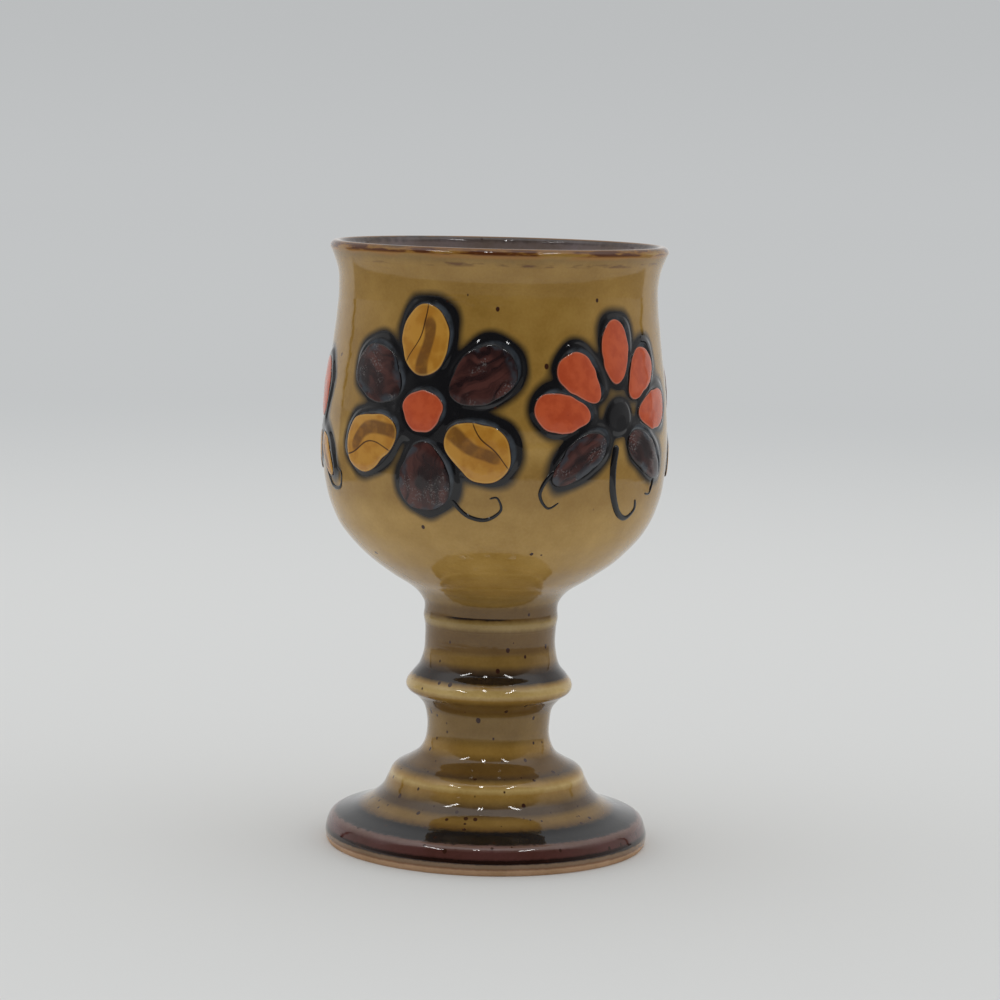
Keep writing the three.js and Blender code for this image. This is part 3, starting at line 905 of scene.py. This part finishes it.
def make_bowl(material):
    """The thrown bowl with its glaze, from the spigot in the stem over the lip to the inside floor."""
    spigot = BORE_RADIUS - SPIGOT_CLEARANCE
    shoulder = BOWL_OUTSIDE[0][1]
    below = [[0, shoulder - SPIGOT_DEPTH], [spigot, shoulder - SPIGOT_DEPTH], [spigot, shoulder]]
    outside = spline(BOWL_OUTSIDE, BOWL_STEPS)
    round_over = np.linspace(0, math.pi, LIP_STEPS + 1)[1:-1]
    lip = np.column_stack([
        LIP_RADIUS - LIP_ROUND + LIP_ROUND * np.cos(round_over),
        HEIGHT - LIP_ROUND + LIP_ROUND * np.sin(round_over),
    ])
    wall = np.vstack([below, outside, lip, spline(BOWL_INSIDE, INSIDE_STEPS)])
    points, faces = turned(wall, poles=True)
    unfolded = wall[:, 1].copy()
    crown = len(below) + len(outside) + len(lip) // 2
    unfolded[crown:] = 2 * HEIGHT - unfolded[crown:]
    height = np.concatenate([np.repeat(unfolded[1:-1], SEGMENTS), unfolded[[0, -1]]])
    gap = np.where(height < HEIGHT, distance_to_slip(points), STAIN_LIMIT)
    attributes = {"height": height, "slip_gap": gap}
    points = thrown(points, BOWL_RIDGES)
    piece("thrown_bowl", points, faces, material, ["bowl"], attributes, CREASE)


def distance_to_slip(points):
    """For each point, how far it is along the skin from the nearest slip, or the limit where none is near."""
    gap = np.full(len(points), STAIN_LIMIT)
    azimuth = np.arctan2(points[:, 0], -points[:, 1])
    for repeat in range(BAND_REPEATS):
        for motif in MOTIFS:
            turn = azimuth - math.radians(motif.azimuth + 360 / BAND_REPEATS * repeat)
            across = (np.mod(turn + math.pi, 2 * math.pi) - math.pi) * BELLY_RADIUS
            up = points[:, 2] - motif.z
            near = (np.abs(across) < PATCH_REACH) & (np.abs(up) < PATCH_REACH)
            gap[near] = np.minimum(gap[near], slip_edge(motif, across[near], up[near]))
    return gap


def make_pedestal(material):
    """The turned pedestal: glazed outside, bare clay below and inside."""
    outside = spline(PEDESTAL_OUTSIDE, PEDESTAL_STEPS)
    inside = spline(PEDESTAL_INSIDE, INSIDE_STEPS)
    bore = [[BORE_RADIUS, z] for z in (PEDESTAL_OUTSIDE[-1][1], *BORE_RINGS)]
    wall = np.vstack([outside, bore, inside])
    points, faces = turned(wall, poles=False)
    height = np.concatenate([outside[:, 1], np.full(len(bore) + len(inside), UNGLAZED)])
    attributes = {"height": np.repeat(height, SEGMENTS)}
    points = thrown(points, PEDESTAL_RIDGES)
    piece("turned_pedestal", points, faces, material, ["pedestal"], attributes, CREASE)


def make_bead(material):
    """The luting slip, smoothed by a finger into the stem below and the bowl above."""
    wall = np.vstack([spline(BEAD_OUTSIDE, BEAD_STEPS), BEAD_INSIDE])
    points, faces = turned(wall, poles=False)
    attributes = {"height": np.repeat(wall[:, 1], SEGMENTS)}
    points = thrown(points, BEAD_RIDGES)
    piece("luting_bead", points, faces, material, ["luting_slip"], attributes)


def make_band(slip, enamels):
    """Both rounds of the painted band: slip grounds, enamel pads and the sprigs' stalks."""
    for repeat in range(BAND_REPEATS):
        turn = 360 / BAND_REPEATS * repeat
        for motif in MOTIFS:
            label = f"{motif.name}_{repeat + 1}"
            slip_ground(motif, turn, f"{label}_slip_ground", slip)
            for key, (pad, enamel) in motif.pads.items():
                enamel_pad(motif, pad, turn, f"{label}_{key}", enamels[enamel])
        make_stalk(SPRIG, turn, f"sprig_{repeat + 1}_stalk", slip)


def tendril(motif, turn, stations):
    """A thin curl of slip that starts wide at the slip ground."""
    path = spline(stations, TENDRIL_STEPS)
    return trailed_line(motif, turn, path, tapered(len(path), TENDRIL_WIDTH), TENDRIL_HEIGHT, TENDRIL_LIFT)


def make_stalk(motif, turn, node, material):
    """The sprig's trailed stalk with the curl at its foot."""
    path = spline([[x, z - motif.z] for x, z in STALK], STALK_STEPS)
    points, faces = trailed_line(motif, turn, path, tapered(len(path), STALK_WIDTH), STALK_HEIGHT, 0)
    attributes = {"beside": np.full(len(points), FAR_FROM_PADS)}
    piece(f"{node}_trailed", points, faces, material, [node], attributes)


# The studio, in metres: a pale tent on a pale table, open at the front, with light strips along its roof. The
# tent is drawn by direction: a pair of numbers is where something starts and where it is complete.
FRONT_DARK = 0.02
SIDE_DIM = 0.42
SIDE_TURN = (0.6, 2.0)
WALL_LOW = 0.72
WALL_HIGH = 0.57
WALL_FADE = (0.35, 0.05)
TENT_EDGE = 0.60
TENT_SLANT = 0.5
CLOTH_START = (-0.02, 0.03)
FRAME_BEHIND = 0.035
FRAME_FADE = (0.01, 0.03)
LEAST_RISE = 0.1
ROOF_LEVEL = 0.52
ROOF_GLOW = 0.55
GLOW_BACK = (0.8, -0.1)
GLOW_ACROSS = (1.7, 0.9)
ROOF_FRONT = (-0.65, -0.45)
ROOF_FROM = (0.28, 0.36)
FILL_FRONT = 0.25
FILL_BACK = 1.05
FILL_TURN = (-0.9, 0.3)
HORIZON_FADE = (-0.03, 0.045)
HORIZON = (0.535, 0.547, 0.553)
BACKDROP = (0.497, 0.509, 0.515)
FLOOR = (0.71, 0.72, 0.716)
FLOOR_BRIGHT = (0.93, 0.94, 0.94)
FLOOR_OUTSIDE = (0.25, 0.25, 0.25)
FLOOR_FAR = (0.545, 0.558, 0.563)
FLOOR_RADIUS = 6.0
FLOOR_SIDES = 96
FLOOR_FADE = (0.3, 1.2)
FAR_FADE = (1.2, 5.0)
TABLE_FADE = (0.37, 0.43)
OPEN_SIDE = (0.60, 0.55)
LEAST_DISTANCE = 0.01
STRIPS = [(-0.42, -0.60, -0.25), (-0.06, -0.47, -0.32), (0.31, -0.55, -0.25)]
STRIP_SPACING = 0.028
STRIP_WIDTH = 0.008
STRIP_HEIGHT = 0.62
STRIP_POWER = 1.1


def tent(g, x, y, z):
    """Radiance of the tent by direction, as the glaze mirrors it. A dark frame edges its open front."""
    turn = g.math("ABSOLUTE", g.math("ARCTAN2", x, g.times(y, -1.0)))
    room = g.plus(FRONT_DARK, g.times(g.fade(turn, *SIDE_TURN), SIDE_DIM - FRONT_DARK))
    edge = g.minus(g.plus(y, g.times(z, TENT_SLANT)), TENT_EDGE)
    cloth = g.plus(WALL_HIGH, g.times(g.fade(z, *WALL_FADE), WALL_LOW - WALL_HIGH))
    frame_line = g.fade(g.away(edge, -FRAME_BEHIND), *FRAME_FADE)
    wall = g.times(g.between(g.fade(edge, *CLOTH_START), room, cloth), frame_line)
    rise = g.math("MAXIMUM", z, LEAST_RISE)
    across = g.math("ABSOLUTE", g.over(x, rise))
    back = g.over(y, rise)
    glow = g.times(g.fade(back, *GLOW_BACK), g.fade(across, *GLOW_ACROSS))
    lit = g.plus(ROOF_LEVEL, g.times(glow, ROOF_GLOW))
    roof = g.between(g.fade(back, *ROOF_FRONT), room, lit)
    return g.between(g.fade(z, *ROOF_FROM), wall, roof)


def make_world():
    """What the glazes mirror, a soft fill from behind and above, and the backdrop that the camera sees."""
    world = bpy.data.worlds.new("tent")
    bpy.context.scene.world = world
    world.use_nodes = True
    g = Nodes(world.node_tree)
    x, y, z = g.split(g.add("TexCoord").outputs["Generated"])
    rays = g.add("LightPath").outputs
    behind = g.fade(g.plus(y, g.times(z, TENT_SLANT)), *FILL_TURN)
    fill = g.plus(FILL_FRONT, g.times(behind, FILL_BACK - FILL_FRONT))
    mirrored = g.between(rays["Is Glossy Ray"], fill, tent(g, x, y, z))
    backdrop = g.mix(g.fade(z, *HORIZON_FADE), HORIZON, BACKDROP)
    light = g.add("Background")
    g.put(light.inputs[0], g.mix(rays["Is Camera Ray"], mirrored, backdrop))
    g.put(g.add("OutputWorld").inputs[0], light.outputs[0])


def mixed_shader(g, share, a, b):
    """Shader a that gives way to shader b as share goes from 0 to 1."""
    node = g.add("MixShader")
    g.put(node.inputs[0], share)
    g.put(node.inputs[1], a.outputs[0])
    g.put(node.inputs[2], b.outputs[0])
    return node


def make_floor():
    """A pale table that keeps the shadow and fades into the backdrop far away. It is clear from below."""
    bpy.ops.mesh.primitive_circle_add(vertices=FLOOR_SIDES, radius=FLOOR_RADIUS, fill_type="NGON")
    floor = bpy.context.object
    floor.name = "floor"
    material, g = new_material("floor")
    floor.data.materials.append(material)
    where = g.add("NewGeometry").outputs
    rays = g.add("LightPath").outputs
    length = g.add("VectorMath", operation="LENGTH")
    g.put(length.inputs[0], where["Position"])
    distance = length.outputs["Value"]
    backwards = g.over(g.split(where["Position"])[1], g.plus(distance, LEAST_DISTANCE))
    open_side = g.fade(backwards, *OPEN_SIDE)
    outside = g.times(g.times(g.fade(distance, *TABLE_FADE), open_side), rays["Is Glossy Ray"])
    lit = g.add("BsdfDiffuse")
    g.put(lit.inputs[0], g.mix(rays["Is Diffuse Ray"], g.mix(outside, FLOOR, FLOOR_OUTSIDE), FLOOR_BRIGHT))
    far = g.add("Emission")
    g.put(far.inputs[0], g.mix(g.fade(distance, *FAR_FADE), FLOOR_FAR, HORIZON))
    ground = mixed_shader(g, g.times(rays["Is Camera Ray"], g.fade(distance, *FLOOR_FADE)), lit, far)
    sides = mixed_shader(g, where["Backfacing"], ground, g.add("BsdfTransparent"))
    g.put(g.add("OutputMaterial").inputs[0], sides.outputs[0])


def make_strips():
    """Pairs of narrow light strips that run from front to back on the roof. They add glints, no fill."""
    for i, (row, front, back) in enumerate(STRIPS):
        for side in (-1, 1):
            lamp = bpy.data.lights.new(f"strip_{i + 1}", "AREA")
            lamp.shape = "RECTANGLE"
            lamp.size, lamp.size_y = STRIP_WIDTH, back - front
            lamp.energy = STRIP_POWER * (back - front)
            strip = bpy.data.objects.new(lamp.name, lamp)
            bpy.context.scene.collection.objects.link(strip)
            strip.location = (row + side * STRIP_SPACING / 2, (front + back) / 2, STRIP_HEIGHT)
            strip.visible_camera = False
            strip.visible_diffuse = False


CAMERA_AT = (0.0015, -0.720, 0.1668)
CAMERA_PITCH = 6.846
CAMERA_ROLL = 1.4
LENS = 112.4


def make_camera():
    """The photograph's view: slightly from above, rolled as the goblet leans in the frame."""
    camera = bpy.data.objects.new("camera", bpy.data.cameras.new("camera"))
    bpy.context.scene.collection.objects.link(camera)
    camera.data.lens = LENS
    camera.location = CAMERA_AT
    camera.rotation_euler = (math.radians(90 - CAMERA_PITCH), 0, 0)
    camera.rotation_euler.rotate_axis("Z", math.radians(CAMERA_ROLL))
    bpy.context.scene.camera = camera


def make_goblet():
    slip = slip_material()
    enamels = {"orange": orange_material(), "amber": amber_material(), "aubergine": aubergine_material()}
    make_bowl(glaze("honey_glaze_bowl", [BOWL_GLAZE], BOWL_RAGGED, BOWL_SPECKS, bowl=True))
    make_pedestal(glaze("honey_glaze_pedestal", [FOOT_GLAZE, STEM_GLAZE], PEDESTAL_RAGGED, PEDESTAL_SPECKS))
    make_bead(glaze("honey_glaze_bead", [BEAD_GLAZE], BEAD_RAGGED, BEAD_SPECKS, seam=True))
    make_band(slip, enamels)


bpy.context.scene.view_settings.view_transform = "Standard"
make_camera()
make_world()
make_floor()
make_strips()
make_goblet()
